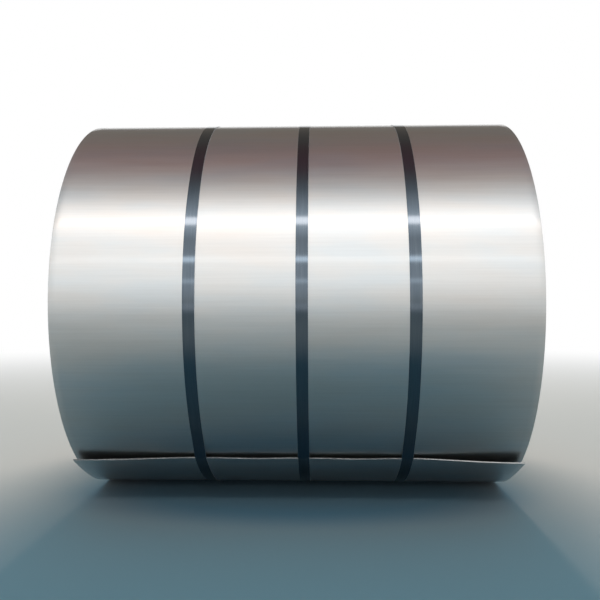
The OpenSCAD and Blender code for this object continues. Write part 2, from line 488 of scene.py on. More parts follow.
def last_turn(w, strip, strap):
    """The strip's last turn with its tail, as a closed band: points, faces and each face's finish."""
    middles = [middle_of(node) for node in STRAP_NODES]
    xs = np.unique(np.concatenate([np.linspace(-w.half, w.half, ACROSS_POINTS), middles]))
    bend = tail_bend(w, tail_gaps(strip, strap, xs))
    outer, inner = [], []
    for s in np.linspace(w.length, 0, TAIL_ROWS):
        outer.append(placed(w, tail_point(w, bend, s, w.gauge)[0], xs))
        inner.append(placed(w, tail_point(w, bend, s, 0.0)[0], xs))
    # Each arc has its first and last angle, its points, its centre's shift and its outer radius.
    arcs = (
        (w.root, math.pi, 165, w.shift, w.last_r),
        (math.pi, 2 * math.pi, 181, -w.shift, w.before_r),
        (0.0, w.under_end, 22, w.shift, w.under_r),
    )
    for first, last, count, shift, radius in arcs:
        centre = np.array([shift, 0.0])
        for angle in np.linspace(first, last, count)[1:]:
            lift = 0.0
            if radius == w.last_r:
                lift = strip.tail_fit * (1 - float(smooth((angle - w.root) / TAIL_FIT_RUN)))
            out = along(np.full(xs.shape, angle))
            outer.append(placed(w, centre + (radius + lift) * out, xs))
            inner.append(placed(w, centre + (radius + lift - w.gauge) * out, xs))
    outer, inner = np.array(outer), np.array(inner)
    rows, cols = outer.shape[:2]
    points = np.concatenate([outer.reshape(-1, 3), inner.reshape(-1, 3)])
    top = np.arange(rows * cols).reshape(rows, cols)
    low = top + rows * cols
    parts = (
        (grid_quads(top, True), FACE),
        (grid_quads(low), INNER),
        (grid_quads(np.stack([top[0], low[0]])), CUT),
        (grid_quads(np.stack([top[-1], low[-1]]), True), FACE),
        (grid_quads(np.stack([top[:, 0], low[:, 0]]), True), SIDE),
        (grid_quads(np.stack([top[:, -1], low[:, -1]])), SIDE),
    )
    faces = np.concatenate([part for part, _ in parts])
    finish = np.concatenate([np.full(len(part), kind) for part, kind in parts])
    return points, faces, finish


def bore_body(w, strip):
    """The wound body behind the end turns, as a closed ring: its points and faces."""
    turn = np.linspace(0, 2 * math.pi, BORE_POINTS)
    out = along(turn + w.head)
    bore = strip.bore_r + w.gauge * (1 - smooth(turn / w.head_fade))
    outside = w.under_r - 2 * w.gauge
    depth = w.half - strip.wander - BODY_INSET
    rings = [placed(w, bore[:, None] * out, x) for x in np.linspace(-depth, depth, BORE_RINGS)]
    rings += [placed(w, outside * out, x) for x in (depth, -depth)]
    rings = np.array(rings)
    grid = np.arange(rings.shape[0] * BORE_POINTS).reshape(rings.shape[0], BORE_POINTS)
    loop = np.concatenate([grid, grid[:1]])
    return rings.reshape(-1, 3), grid_quads(np.concatenate([loop, loop[:, :1]], axis=1))


def wound_piece(w, strip, strap, finishes):
    """The last turn, its tail and the wound body, as the one piece that stands for the coil's solid."""
    band, band_faces, band_finish = last_turn(w, strip, strap)
    body, body_faces = bore_body(w, strip)
    points = np.concatenate([band, body])
    faces = np.concatenate([band_faces, body_faces + len(band)])
    finish = np.concatenate([band_finish, np.full(len(body_faces), FACE)])
    materials = {
        FACE: zinc_face(finishes),
        CUT: sheared_edge(finishes),
        SIDE: slit_edges(finishes, w.axis_z),
        INNER: inner_zinc_oil_and_shade(finishes),
    }
    mesh = make_mesh("wound_strip", points, faces, materials.values(), finish)
    return make_piece("wound_strip", mesh, STRIP_SHARP, strip.tail_round)


def turns_tree(material):
    """Geometry Nodes that wind one edge of the strip as a spiral, from the bore out to the last turn."""
    tree = bpy.data.node_groups.new("End turns", "GeometryNodeTree")
    tree.interface.new_socket(name="Points a Turn", in_out="INPUT", socket_type="NodeSocketInt")
    sizes = ("Turns", "Pitch", "Bore Radius", "Gauge", "Depth", "Edge Round", "Climb Share")
    for name in (*sizes, "Climb Turns", "Start Angle", "Wander", "Wander Rate", "Seed"):
        tree.interface.new_socket(name=name, in_out="INPUT", socket_type="NodeSocketFloat")
    tree.interface.new_socket(name="Geometry", in_out="OUTPUT", socket_type="NodeSocketGeometry")
    given = add(tree, "NodeGroupInput").outputs
    count = add(
        tree,
        "ShaderNodeMath",
        {0: given["Turns"], 1: given["Points a Turn"], 2: 1.0},
        operation="MULTIPLY_ADD",
    )
    line = add(tree, "GeometryNodeMeshLine", {"Count": count}, mode="OFFSET")
    index = add(tree, "GeometryNodeInputIndex")
    turn = add(tree, "ShaderNodeMath", {0: index, 1: given["Points a Turn"]}, operation="DIVIDE")
    whole = add(tree, "ShaderNodeMath", {0: turn}, operation="FLOOR")
    part = add(tree, "ShaderNodeMath", {0: turn, 1: whole}, operation="SUBTRACT")
    # Near the bore a turn lies on the circle of the mandrel and climbs over the inner end in one short
    # run. That run spreads out over the first turns, until the turns are a plain spiral.
    climb_from = add(tree, "ShaderNodeMath", {0: 1.0, 1: given["Climb Share"]}, operation="SUBTRACT")
    climb = add(
        tree,
        "ShaderNodeMapRange",
        {"Value": part, "From Min": climb_from, "From Max": 1.0},
        interpolation_type="SMOOTHSTEP",
    )
    settled = add(tree, "ShaderNodeMapRange", {"Value": whole, "From Max": given["Climb Turns"]})
    grown = add(tree, "ShaderNodeMix", {0: settled, 2: climb, 3: part}, data_type="FLOAT")
    laps = add(tree, "ShaderNodeMath", {0: whole, 1: grown}, operation="ADD")
    reach = add(
        tree,
        "ShaderNodeMath",
        {0: laps, 1: given["Pitch"], 2: given["Bore Radius"]},
        operation="MULTIPLY_ADD",
    )
    radius = add(tree, "ShaderNodeMath", {0: given["Gauge"], 1: 0.5, 2: reach}, operation="MULTIPLY_ADD")
    angle = add(
        tree,
        "ShaderNodeMath",
        {0: turn, 1: -2 * math.pi, 2: given["Start Angle"]},
        operation="MULTIPLY_ADD",
    )
    cosine = add(tree, "ShaderNodeMath", {0: angle}, operation="COSINE")
    sine = add(tree, "ShaderNodeMath", {0: angle}, operation="SINE")
    across = add(tree, "ShaderNodeMath", {0: radius, 1: cosine}, operation="MULTIPLY")
    up = add(tree, "ShaderNodeMath", {0: radius, 1: sine}, operation="MULTIPLY")
    # Each turn's edge wanders in and out along the bore, over two or three turns.
    drift = add(
        tree,
        "ShaderNodeMath",
        {0: turn, 1: given["Wander Rate"], 2: given["Seed"]},
        operation="MULTIPLY_ADD",
    )
    noise = add(
        tree, "ShaderNodeTexNoise", {"W": drift, "Scale": 1.0, "Detail": 3.0}, noise_dimensions="1D"
    )
    swing = add(
        tree, "ShaderNodeMapRange", {"Value": noise, "From Min": SHY, "From Max": PROUD, "To Min": -1.0}
    )
    rise = add(tree, "ShaderNodeMath", {0: swing, 1: given["Wander"]}, operation="MULTIPLY")
    spot = add(tree, "ShaderNodeCombineXYZ", {0: across, 1: up, 2: rise})
    spiral = add(tree, "GeometryNodeSetPosition", {"Geometry": line, "Position": spot})
    curve = add(tree, "GeometryNodeMeshToCurve", {"Mesh": spiral})
    upright = add(tree, "GeometryNodeSetCurveNormal", {"Curve": curve})
    section = add(
        tree,
        "GeometryNodeCurvePrimitiveQuadrilateral",
        {"Width": given["Gauge"], "Height": given["Depth"]},
        mode="RECTANGLE",
    )
    rounded = add(
        tree,
        "GeometryNodeFilletCurve",
        {"Curve": section, "Radius": given["Edge Round"], "Count": 1},
        mode="POLY",
    )
    swept = add(
        tree, "GeometryNodeCurveToMesh", {"Curve": upright, "Profile Curve": rounded, "Fill Caps": True}
    )
    real = add(tree, "GeometryNodeRealizeInstances", {"Geometry": swept})
    coated = add(tree, "GeometryNodeSetMaterial", {"Geometry": real, "Material": material})
    add(tree, "NodeGroupOutput", {"Geometry": coated})
    return tree


def end_turns(name, w, strip, tree, side):
    """One end's turns: the strip's slit edge wound as a spiral, made a plain mesh in its place."""
    out_angle = (w.head - w.under_end) / (2 * math.pi)
    last_in = w.under_r - w.gauge + w.shift * math.cos(w.under_end)
    turns = math.floor((last_in - strip.bore_r) / w.gauge - out_angle) + out_angle
    values = {
        "Points a Turn": strip.turn_points,
        "Turns": turns,
        "Pitch": (last_in - strip.bore_r) / turns,
        "Bore Radius": strip.bore_r,
        "Gauge": w.gauge,
        "Depth": strip.end_depth,
        "Edge Round": strip.edge_round,
        "Climb Share": w.head_fade / (2 * math.pi),
        "Climb Turns": strip.head_turns,
        "Start Angle": w.head,
        "Wander": strip.wander,
        "Wander Rate": strip.wander_rate,
        "Seed": strip.seed,
    }
    holder = bpy.data.objects.new(name + "_rule", bpy.data.meshes.new(name + "_rule"))
    bpy.context.scene.collection.objects.link(holder)
    rule = holder.modifiers.new("End turns", "NODES")
    rule.node_group = tree
    for item in tree.interface.items_tree:
        if item.in_out == "INPUT":
            rule[item.identifier] = values[item.name]
    ready = holder.evaluated_get(bpy.context.evaluated_depsgraph_get())
    mesh = bpy.data.meshes.new_from_object(ready)
    holder.modifiers.remove(rule)
    bpy.data.objects.remove(holder)
    mesh.name = name
    spots = np.empty(len(mesh.vertices) * 3)
    mesh.vertices.foreach_get("co", spots)
    spots = spots.reshape(-1, 3)
    x = spots[:, 2] + side * (w.half - strip.end_depth / 2)
    mesh.vertices.foreach_set("co", placed(w, spots[:, :2], x).ravel())
    return make_piece(name, mesh, TURNS_SHARP)


# The straps and seals

# Steps of a strap's run, finer where its ends lap, and the arc over which one climbs onto the other.
FINE_STEP = math.radians(0.12)
PLAIN_STEP = math.radians(1.0)
LAP_RAMP = math.radians(3.0)
# Rows of a strap's straight run to the tail's edge and of its bend over that edge.
FREE_ROWS = 10
BEND_ROWS = 4
# Room round the straps inside a seal, and the rows of a seal's run.
SEAL_SIDE_ROOM = 0.3 * MM
SEAL_LOW_ROOM = 0.1 * MM
SEAL_TOP_ROOM = 0.2 * MM
SEAL_ROWS = 72


def strap_path(w, strap, bend):
    """A strap's run round the coil, from its lower end to its upper: points, ways out, lifts and angles."""
    lap = strap.lap / (w.last_r + w.gauge)
    start = w.seal_turn - lap / 2
    plain_to, fine_from = start - 1.5 * LAP_RAMP, start - 1.45 * LAP_RAMP
    climb_from, climb_run = start - LAP_RAMP, LAP_RAMP * 0.85
    seal_half = strap.seal_length / 2 / w.last_r + PLAIN_STEP
    lap_end = w.seal_turn + seal_half + lap / 2
    edge, rise = tail_point(w, bend, np.array(w.length), w.gauge + strap.slack)
    spots, outs, lifts, turns = [], [], [], []

    def lay(spot, out, lift=0.0, angle=0.0):
        spots.append(spot)
        outs.append(out)
        lifts.append(lift)
        turns.append(angle)

    def arc(first, last, shift, radius, step, upper=False):
        count = max(2, int(abs(last - first) / step))
        for angle in np.linspace(first, last, count + 1):
            out = along(np.array(angle))
            lift = 0.0
            if upper:
                climb = float(smooth((angle - climb_from) / climb_run))
                lift = (strap.gauge + strap.lap_room) * climb
            lay(np.array([shift, 0.0]) + (radius + strap.slack) * out, out, lift, angle)

    # From the lower end, down the back and forward under the coil.
    arc(start, lap_end, -w.shift, w.before_r, FINE_STEP)
    arc(lap_end + PLAIN_STEP, 2 * math.pi + land_angle(w, strap, edge), -w.shift, w.before_r, PLAIN_STEP)
    # Straight up to the tail's edge, round that edge and along the tail. Each run stops short of the next.
    leave = spots[-1]
    way = (edge - leave) / np.linalg.norm(edge - leave)
    free_out = np.array([way[1], -way[0]])
    if np.dot(free_out, edge) < 0:
        free_out = -free_out
    for share in np.linspace(0.1, 0.97, FREE_ROWS):
        lay(leave + share * (edge - leave), free_out)
    for share in np.linspace(0.15, 0.85, BEND_ROWS):
        lean = (1 - share) * free_out + share * rise
        lay(edge.copy(), lean / np.linalg.norm(lean))
    for s in np.linspace(w.length * 0.985, 0, TAIL_ROWS):
        lay(*tail_point(w, bend, np.array(s), w.gauge + strap.slack))
    # Up the front, over the top and onto the lower end.
    arc(w.root + PLAIN_STEP, math.pi, w.shift, w.last_r, PLAIN_STEP)
    arc(math.pi + PLAIN_STEP, plain_to, -w.shift, w.before_r, PLAIN_STEP)
    arc(fine_from, start + lap, -w.shift, w.before_r, FINE_STEP, upper=True)
    return np.array(spots), np.array(outs), np.array(lifts), np.array(turns)


def land_angle(w, strap, edge):
    """Angle, below the tail's edge, at which a straight strap leaves the coil to reach that edge."""
    spot = edge - np.array([-w.shift, 0.0])
    far = np.linalg.norm(spot)
    lean = math.atan2(spot[1], spot[0])
    return lean - math.acos(min(1.0, (w.before_r + strap.slack) / far))


def crimps(w, strap, turns):
    """How far the two crimps of a seal notch in at angles round the coil."""
    depth = np.zeros(turns.shape)
    for side in (-1, 1):
        off = (turns - w.seal_turn) * w.last_r - side * strap.seal_length / 4
        depth += strap.crimp * np.exp(-((off / strap.crimp_run) ** 2))
    return depth


def rounded_box(half, low, high, radius, steps=3):
    """Outline of a flat bar with rounded edges, and points near them that keep its faces flat."""
    corners = ((half - radius, low + radius, -90), (half - radius, high - radius, 0))
    corners += ((-half + radius, high - radius, 90), (-half + radius, low + radius, 180))
    flats = {0: high, 180: low}
    outline = []
    for x, y, first in corners:
        for turn in np.radians(np.linspace(first, first + 90, steps)):
            outline.append((x + radius * math.cos(turn), y + radius * math.sin(turn)))
        if first in flats:
            side = math.copysign(half - 3 * radius, x)
            outline += [(side, flats[first]), (-side, flats[first])]
    return np.array(outline)


def seal_outline(strap, notch):
    """A seal's section: a sheet folded round both straps, with its lips turned in below."""
    bend = strap.seal_bend
    side = strap.width / 2 + SEAL_SIDE_ROOM - notch - bend
    low = bend - SEAL_LOW_ROOM
    high = 2 * strap.gauge + SEAL_TOP_ROOM - bend
    outer, inner = [], []
    for turn in np.radians(np.linspace(-60, 90, 8)):
        centre = np.array([side, high if turn > 0 else low])
        outer.append(centre + (bend + strap.seal_gauge) * along(turn))
        inner.append(centre + bend * along(turn))
    outer, inner = np.array(outer), np.array(inner)
    mirror = np.array([-1.0, 1.0])
    return np.concatenate([outer, (outer * mirror)[::-1], inner * mirror, inner[::-1]])


def swept_piece(name, w, spots, outs, sections, x, material):
    """A piece of section outlines swept along a run in the coil's plane, closed at both ends."""
    rows = []
    for spot, out, section in zip(spots, outs, sections):
        plane = spot[None, :] + section[:, 1:2] * out[None, :]
        rows.append(placed(w, plane, x + section[:, 0]))
    rows = np.array(rows)
    count = rows.shape[1]
    grid = np.arange(rows.shape[0] * count).reshape(rows.shape[0], count)
    sides = grid_quads(np.concatenate([grid, grid[:, :1]], axis=1)).tolist()
    faces = sides + [grid[0].tolist(), grid[-1][::-1].tolist()]
    return make_piece(name, make_mesh(name, rows.reshape(-1, 3), faces, [material]), SWEPT_SHARP)


def strap_piece(name, w, strip, strap, x, material):
    """One strap, with its two ends lapped and notched under the seal."""
    spots, outs, lifts, turns = strap_path(w, strap, tail_bend(w, strip.strap_gap))
    sections = []
    for lift, notch in zip(lifts, crimps(w, strap, turns)):
        half = strap.width / 2 - notch
        sections.append(rounded_box(half, lift, lift + strap.gauge, strap.edge_round))
    return swept_piece(name, w, spots, outs, sections, x, material)


def seal_piece(name, w, strap, x, material):
    """One folded seal, with its crimps pressed into both sides."""
    half = strap.seal_length / 2 / w.last_r
    turns = np.linspace(w.seal_turn - half, w.seal_turn + half, SEAL_ROWS)
    outs = along(turns)
    spots = np.array([-w.shift, 0.0]) + (w.before_r + strap.slack) * outs
    sections = [seal_outline(strap, notch) for notch in crimps(w, strap, turns)]
    return swept_piece(name, w, spots, outs, sections, x, material)


# Finishes


def new_material(name):
    """An empty node material and its tree."""
    material = bpy.data.materials.new(name)
    material.use_nodes = True
    material.node_tree.nodes.clear()
    return material, material.node_tree


def zinc_face(finishes):
    """Hot-dip galvanised strip, skin-passed between ground rolls."""
    # The zinc is a bright, soft mirror. The rolls' lines run round the coil and spread its reflections
    # along the width. Faint streaks a hand long lie across it, and its colour clouds a little. A thin
    # film of mill oil lays a narrow, sharper glint over the soft one.
    # Real roll lines are about 0.2 mm apart. They are drawn eight times as coarse, so that they show.
    material, tree = new_material("galvanised_steel_strip")
    place = add(tree, "ShaderNodeTexCoord").outputs["Object"]
    patterns = []
    for size, detail in (((250, 5, 5), 3.0), ((1.6, 500, 500), 2.0), ((300, 80, 80), 3.0)):
        scale = [length * MM for length in size]
        spread = add(tree, "ShaderNodeMapping", {"Vector": place, "Scale": scale}, vector_type="TEXTURE")
        noise = add(tree, "ShaderNodeTexNoise", {"Vector": spread, "Scale": 1.0, "Detail": detail})
        patterns.append(noise)
    streaks, lines, clouds = patterns
    cloudy = add(
        tree,
        "ShaderNodeValToRGB",
        {"Fac": clouds},
        ramp=((0.34, finishes.zinc_cool), (0.5, finishes.zinc), (0.68, finishes.zinc_warm)),
    )
    shade = add(
        tree,
        "ShaderNodeMapRange",
        {"Value": streaks, "From Min": 0.3, "From Max": 0.7, "To Min": 0.965, "To Max": 1.035},
    )
    colour = add(tree, "ShaderNodeHueSaturation", {"Color": cloudy, "Value": shade})
    rough = add(
        tree,
        "ShaderNodeMapRange",
        {"Value": streaks, "From Min": 0.3, "From Max": 0.7, "To Min": 0.4, "To Max": 0.45},
    )
    ripple = add(tree, "ShaderNodeBump", {"Height": streaks, "Strength": 1.0, "Distance": 0.004 * MM})
    relief = add(
        tree, "ShaderNodeBump", {"Height": lines, "Strength": 1.0, "Distance": 0.001 * MM, "Normal": ripple}
    )
    round_coil = add(tree, "ShaderNodeTangent", direction_type="RADIAL", axis="X")
    shader = add(
        tree,
        "ShaderNodeBsdfPrincipled",
        {
            "Base Color": colour,
            "Metallic": 1.0,
            "Roughness": rough,
            "Anisotropic": 0.45,
            "Anisotropic Rotation": 0.25,
            "Normal": relief,
            "Coat Weight": 0.8,
            "Coat Roughness": 0.1,
            "Tangent": round_coil,
        },
    )
    add(tree, "ShaderNodeOutputMaterial", {"Surface": shader})
    return material


def inner_zinc_oil_and_shade(finishes):
    """Inner face of the strip, which lay on the turn below, with mill oil, painted dark as shade."""
    # Its darkness is painted shade for the gap under the tail. Oil lies in blotches two fingers wide, so
    # the face is a dark, uneven mirror.
    material, tree = new_material("galvanised_steel_oil_and_painted_shade")
    place = add(tree, "ShaderNodeTexCoord").outputs["Object"]
    blotch = 40 * MM
    blotches = add(tree, "ShaderNodeTexNoise", {"Vector": place, "Scale": 1 / blotch, "Detail": 3.0})
    colour = add(
        tree, "ShaderNodeValToRGB", {"Fac": blotches}, ramp=((0.55, finishes.oil_and_painted_shade), (1.0, finishes.zinc))
    )
    shader = add(
        tree, "ShaderNodeBsdfPrincipled", {"Base Color": colour, "Metallic": 1.0, "Roughness": 0.4}
    )
    add(tree, "ShaderNodeOutputMaterial", {"Surface": shader})
    return material


def sheared_edge(finishes):
    """Sheared face of the strip's tail, with painted shade to the left and painted light to the right."""
    # A narrow, slightly rough line of bare steel with short tears across it. Painted light makes it
    # brighter to the right.
    material, tree = new_material("sheared_steel_edge")
    place = add(tree, "ShaderNodeTexCoord").outputs["Object"]
    size = (4 * MM, 20 * MM, 20 * MM)
    spread = add(tree, "ShaderNodeMapping", {"Vector": place, "Scale": size}, vector_type="TEXTURE")
    tears = add(tree, "ShaderNodeTexNoise", {"Vector": spread, "Scale": 1.0, "Detail": 3.0})
    x = add(tree, "ShaderNodeSeparateXYZ", {0: place}).outputs["X"]
    # Painted shade to the left and painted light to the right, along the coil's axis.
    shaded_to, bright_from = 250 * MM, 450 * MM
    lit_to_right = add(tree, "ShaderNodeMapRange", {"Value": x, "From Min": shaded_to, "From Max": bright_from})
    shine = add(tree, "ShaderNodeMath", {0: lit_to_right, 1: 0.4, 2: tears}, operation="MULTIPLY_ADD")
    colour = add(
        tree, "ShaderNodeValToRGB", {"Fac": shine}, ramp=((0.45, finishes.torn_and_shaded), (0.85, finishes.sheared_and_lit))
    )
    relief = add(tree, "ShaderNodeBump", {"Height": tears, "Strength": 0.6, "Distance": 0.1 * MM})
    shader = add(
        tree,
        "ShaderNodeBsdfPrincipled",
        {"Base Color": colour, "Metallic": 1.0, "Roughness": 0.5, "Normal": relief},
    )
    add(tree, "ShaderNodeOutputMaterial", {"Surface": shader})
    return material


def slit_edges(finishes, axis_z):
    """Slit edges of the wound turns, cut through the zinc to bare steel."""
    # Bare steel that dulls from turn to turn, so the end reads as fine rings of light and dark, under
    # stains about as wide as a hand.
    material, tree = new_material("slit_steel_edges")
    place = add(tree, "ShaderNodeTexCoord").outputs["Object"]
    centred = add(tree, "ShaderNodeMapping", {"Vector": place, "Location": (0.0, 0.0, -axis_z)})
    flat = add(tree, "ShaderNodeVectorMath", {0: centred, 1: (0.0, 1.0, 1.0)}, operation="MULTIPLY")
    radius = add(tree, "ShaderNodeVectorMath", {0: flat}, operation="LENGTH").outputs["Value"]
    ring_width, stain_width = 4.5 * MM, 90 * MM
    rings = add(
        tree,
        "ShaderNodeTexNoise",
        {"W": radius, "Scale": 1 / ring_width, "Detail": 2.0},
        noise_dimensions="1D",
    )
    stains = add(
        tree,
        "ShaderNodeTexNoise",
        {"Vector": place, "Scale": 1 / stain_width, "Detail": 5.0, "Roughness": 0.6},
    )
    wear = add(tree, "ShaderNodeMath", {0: stains, 1: 0.35, 2: rings}, operation="MULTIPLY_ADD")
    colour = add(
        tree,
        "ShaderNodeValToRGB",
        {"Fac": wear},
        ramp=((0.5, finishes.slit_dull), (0.68, finishes.slit), (0.85, finishes.zinc)),
    )
    rough = add(
        tree,
        "ShaderNodeMapRange",
        {"Value": rings, "From Min": 0.3, "From Max": 0.7, "To Min": 0.42, "To Max": 0.3},
    )
    round_coil = add(tree, "ShaderNodeTangent", direction_type="RADIAL", axis="X")
    shader = add(
        tree,
        "ShaderNodeBsdfPrincipled",
        {
            "Base Color": colour,
            "Metallic": 1.0,
            "Roughness": rough,
            "Anisotropic": 0.7,
            "Anisotropic Rotation": 0.25,
            "Tangent": round_coil,
        },
    )
    add(tree, "ShaderNodeOutputMaterial", {"Surface": shader})
    return material


def blued_steel(name, face, bare_and_highlight, middles, half):
    """Blued and waxed steel, slit from strip, with a painted highlight of bare metal along its two edges.
    """
    # A dark blue mirror with a thin bright line along each slit edge, a painted highlight given as bare
    # metal. Drawing marks run along it. They are as fine as a hair, and are drawn some fifteen times as
    # coarse, so that they show.
    material, tree = new_material(name)
    place = add(tree, "ShaderNodeTexCoord").outputs["Object"]
    x = add(tree, "ShaderNodeSeparateXYZ", {0: place}).outputs["X"]
    nearest = 1.0
    for middle in middles:
        off = add(tree, "ShaderNodeMath", {0: x, 1: middle}, operation="SUBTRACT")
        gap = add(tree, "ShaderNodeMath", {0: off}, operation="ABSOLUTE")
        nearest = add(tree, "ShaderNodeMath", {0: gap, 1: nearest}, operation="MINIMUM")
    size = (1.5 * MM, 60 * MM, 60 * MM)
    spread = add(tree, "ShaderNodeMapping", {"Vector": place, "Scale": size}, vector_type="TEXTURE")
    marks = add(tree, "ShaderNodeTexNoise", {"Vector": spread, "Scale": 1.0, "Detail": 3.0})
    raggedness, blued_to, bare_from = 0.2 * MM, half - 0.3 * MM, half - 0.1 * MM
    ragged = add(tree, "ShaderNodeMath", {0: marks, 1: raggedness, 2: nearest}, operation="MULTIPLY_ADD")
    edge = add(
        tree, "ShaderNodeMapRange", {"Value": ragged, "From Min": blued_to, "From Max": bare_from}
    )
    drawn = add(tree, "ShaderNodeValToRGB", {"Fac": marks}, ramp=((0.35, face), (0.75, bare_and_highlight)))
    marked = add(tree, "ShaderNodeMix", {0: 0.06, 6: face, 7: drawn}, data_type="RGBA").outputs[2]
    colour = add(tree, "ShaderNodeMix", {0: edge, 6: marked, 7: bare_and_highlight}, data_type="RGBA").outputs[2]
    waxed = add(
        tree,
        "ShaderNodeMapRange",
        {"Value": marks, "From Min": 0.3, "From Max": 0.7, "To Min": 0.07, "To Max": 0.11},
    )
    rough = add(tree, "ShaderNodeMath", {0: edge, 1: 0.5, 2: waxed}, operation="MULTIPLY_ADD")
    shader = add(
        tree, "ShaderNodeBsdfPrincipled", {"Base Color": colour, "Metallic": 1.0, "Roughness": rough}
    )
    add(tree, "ShaderNodeOutputMaterial", {"Surface": shader})
    return material


def floor_finish(finishes, stage):
    """Pale painted floor that fades to white with distance, with a painted shade under the coil's front."""
    # The paint is matt and plain. Close under the front of the coil a painted shade makes it darker and
    # cooler, for the tail to mirror.
    material, tree = new_material("pale_floor_paint")
    place = add(tree, "ShaderNodeTexCoord").outputs["Object"]
    centred = add(tree, "ShaderNodeMapping", {"Vector": place, "Location": (0.0, stage.fade_front, 0.0)})
    away = add(tree, "ShaderNodeVectorMath", {0: centred}, operation="LENGTH").outputs["Value"]
    fade = add(
        tree,
        "ShaderNodeMapRange",
        {"Value": away, "From Min": stage.fade_from, "From Max": stage.fade_to},
        interpolation_type="SMOOTHSTEP",
    )
    # Painted shade: an oval of darker, cooler paint close under the front of the coil.
    painted_shade_oval = add(
        tree,
        "ShaderNodeMapping",
        {"Vector": place, "Location": stage.painted_shade_middle, "Scale": stage.painted_shade_half},
        vector_type="TEXTURE",
    )
    off = add(tree, "ShaderNodeVectorMath", {0: painted_shade_oval}, operation="LENGTH").outputs["Value"]
    clear = add(
        tree,
        "ShaderNodeMapRange",
        {"Value": off, "From Min": 0.55, "From Max": 1.0},
        interpolation_type="SMOOTHSTEP",
    )
    colours = {6: finishes.floor_painted_shade, 7: finishes.floor}
    tone = add(tree, "ShaderNodeMix", {0: clear, **colours}, data_type="RGBA").outputs[2]
    paint = add(tree, "ShaderNodeBsdfPrincipled", {"Base Color": tone, "Roughness": 0.8})
    white = add(tree, "ShaderNodeEmission", {"Color": finishes.backdrop, "Strength": 1.0})
    mixed = add(tree, "ShaderNodeMixShader", {0: fade, 1: paint, 2: white})
    add(tree, "ShaderNodeOutputMaterial", {"Surface": mixed})
    return material


# The stage

WHITE = (1.0, 1.0, 1.0)
# The tent's angle from the front over the top to behind, in degrees, with its brightness and its tint.
TENT = (
    (0, 0.85, (1.01, 1.0, 0.96)),
    (4, 1.1, (1.0, 1.0, 0.98)),
    (8, 1.24, WHITE),
    (19, 1.27, WHITE),
    (32, 1.12, WHITE),
    (38, 1.02, WHITE),
    (46, 1.85, WHITE),
    (53.5, 1.75, WHITE),
    (60, 1.17, WHITE),
    (64, 0.93, WHITE),
    (71, 0.54, WHITE),
    (79, 0.32, (1.12, 0.97, 0.94)),
    (87, 0.22, (1.3, 0.82, 0.82)),
    (96, 0.19, (1.38, 0.74, 0.76)),
    (107, 0.17, (1.3, 0.8, 0.75)),
    (120, 0.16, (1.15, 0.98, 0.85)),
    (149, 0.15, (1.1, 1.0, 0.86)),
    (154.6, 1.0, WHITE),
    (180, 1.0, WHITE),
)
# Each tube across the tent has its angle, half its width, its brightness and its tint.
TUBES = ((12.4, 0.7, 2.1, WHITE), (25.4, 1.0, 3.7, WHITE), (49.7, 1.9, 5.6, (1.1, 0.97, 0.9)))
# A tube's light fades over this many degrees at each side.
TUBE_BLUR = 1.1
FILL_TINT = (0.04, 0.24, 0.34, 1.0)


def tent_stops():
    """The tent and its tubes as the stops of one colour ramp."""
    angles = [angle for angle, _, _ in TENT]
    levels = [level for _, level, _ in TENT]
    stops = list(TENT)
    for angle, half, level, tone in TUBES:
        for side in (-1, 1):
            edge = angle + side * (half + TUBE_BLUR)
            stops.append((edge, float(np.interp(edge, angles, levels)), WHITE))
            stops.append((angle + side * half, level, tone))
    return [(a / 180, (v * r, v * g, v * b, 1.0)) for a, v, (r, g, b) in sorted(stops)]


def light_tent(scene, finishes):
    """A soft tent of light: bright in front with three tubes across it, dim overhead, white low behind."""
    world = bpy.data.worlds.new("studio")
    scene.world = world
    world.use_nodes = True
    tree = world.node_tree
    tree.nodes.clear()
    way = add(tree, "ShaderNodeTexCoord").outputs["Generated"]
    parts = add(tree, "ShaderNodeSeparateXYZ", {0: way}).outputs
    front = add(tree, "ShaderNodeMath", {0: parts["Y"], 1: -1.0}, operation="MULTIPLY")
    height = add(tree, "ShaderNodeMath", {0: parts["Z"]}, operation="ABSOLUTE")
    over = add(tree, "ShaderNodeMath", {0: height, 1: front}, operation="ARCTAN2")
    share = add(tree, "ShaderNodeMath", {0: over, 1: math.pi}, operation="DIVIDE")
    tent = add(tree, "ShaderNodeValToRGB", {"Fac": share}, ramp=tent_stops())
    # The sides are white low down, like the backdrop, and grey above.
    high = add(
        tree,
        "ShaderNodeMapRange",
        {"Value": height, "From Min": 0.42, "From Max": 0.6},
        interpolation_type="SMOOTHSTEP",
    )
    flank_colours = {6: finishes.backdrop, 7: finishes.flank}
    flank = add(tree, "ShaderNodeMix", {0: high, **flank_colours}, data_type="RGBA").outputs[2]
    aside = add(tree, "ShaderNodeMath", {0: parts["X"]}, operation="ABSOLUTE")
    edge = add(
        tree,
        "ShaderNodeMapRange",
        {"Value": aside, "From Min": 0.45, "From Max": 0.72},
        interpolation_type="SMOOTHSTEP",
    )
    around = add(tree, "ShaderNodeMix", {0: edge, 6: tent, 7: flank}, data_type="RGBA").outputs[2]
    shown = add(tree, "ShaderNodeBackground", {"Color": around, "Strength": 1.0})
    # What the world throws on the floor is a soft blue fill from above, so that the coil's shadow is
    # cool, and deep at its foot.
    depth = add(
        tree,
        "ShaderNodeMapRange",
        {"Value": height, "From Min": 0.55, "From Max": 0.95, "To Min": 0.1, "To Max": 2.1},
        interpolation_type="SMOOTHSTEP",
    )
    fill = add(tree, "ShaderNodeBackground", {"Color": FILL_TINT, "Strength": depth})
    matt = add(tree, "ShaderNodeLightPath").outputs["Diffuse Depth"]
    light = add(tree, "ShaderNodeMixShader", {0: matt, 1: shown, 2: fill})
    add(tree, "ShaderNodeOutputWorld", {"Surface": light})


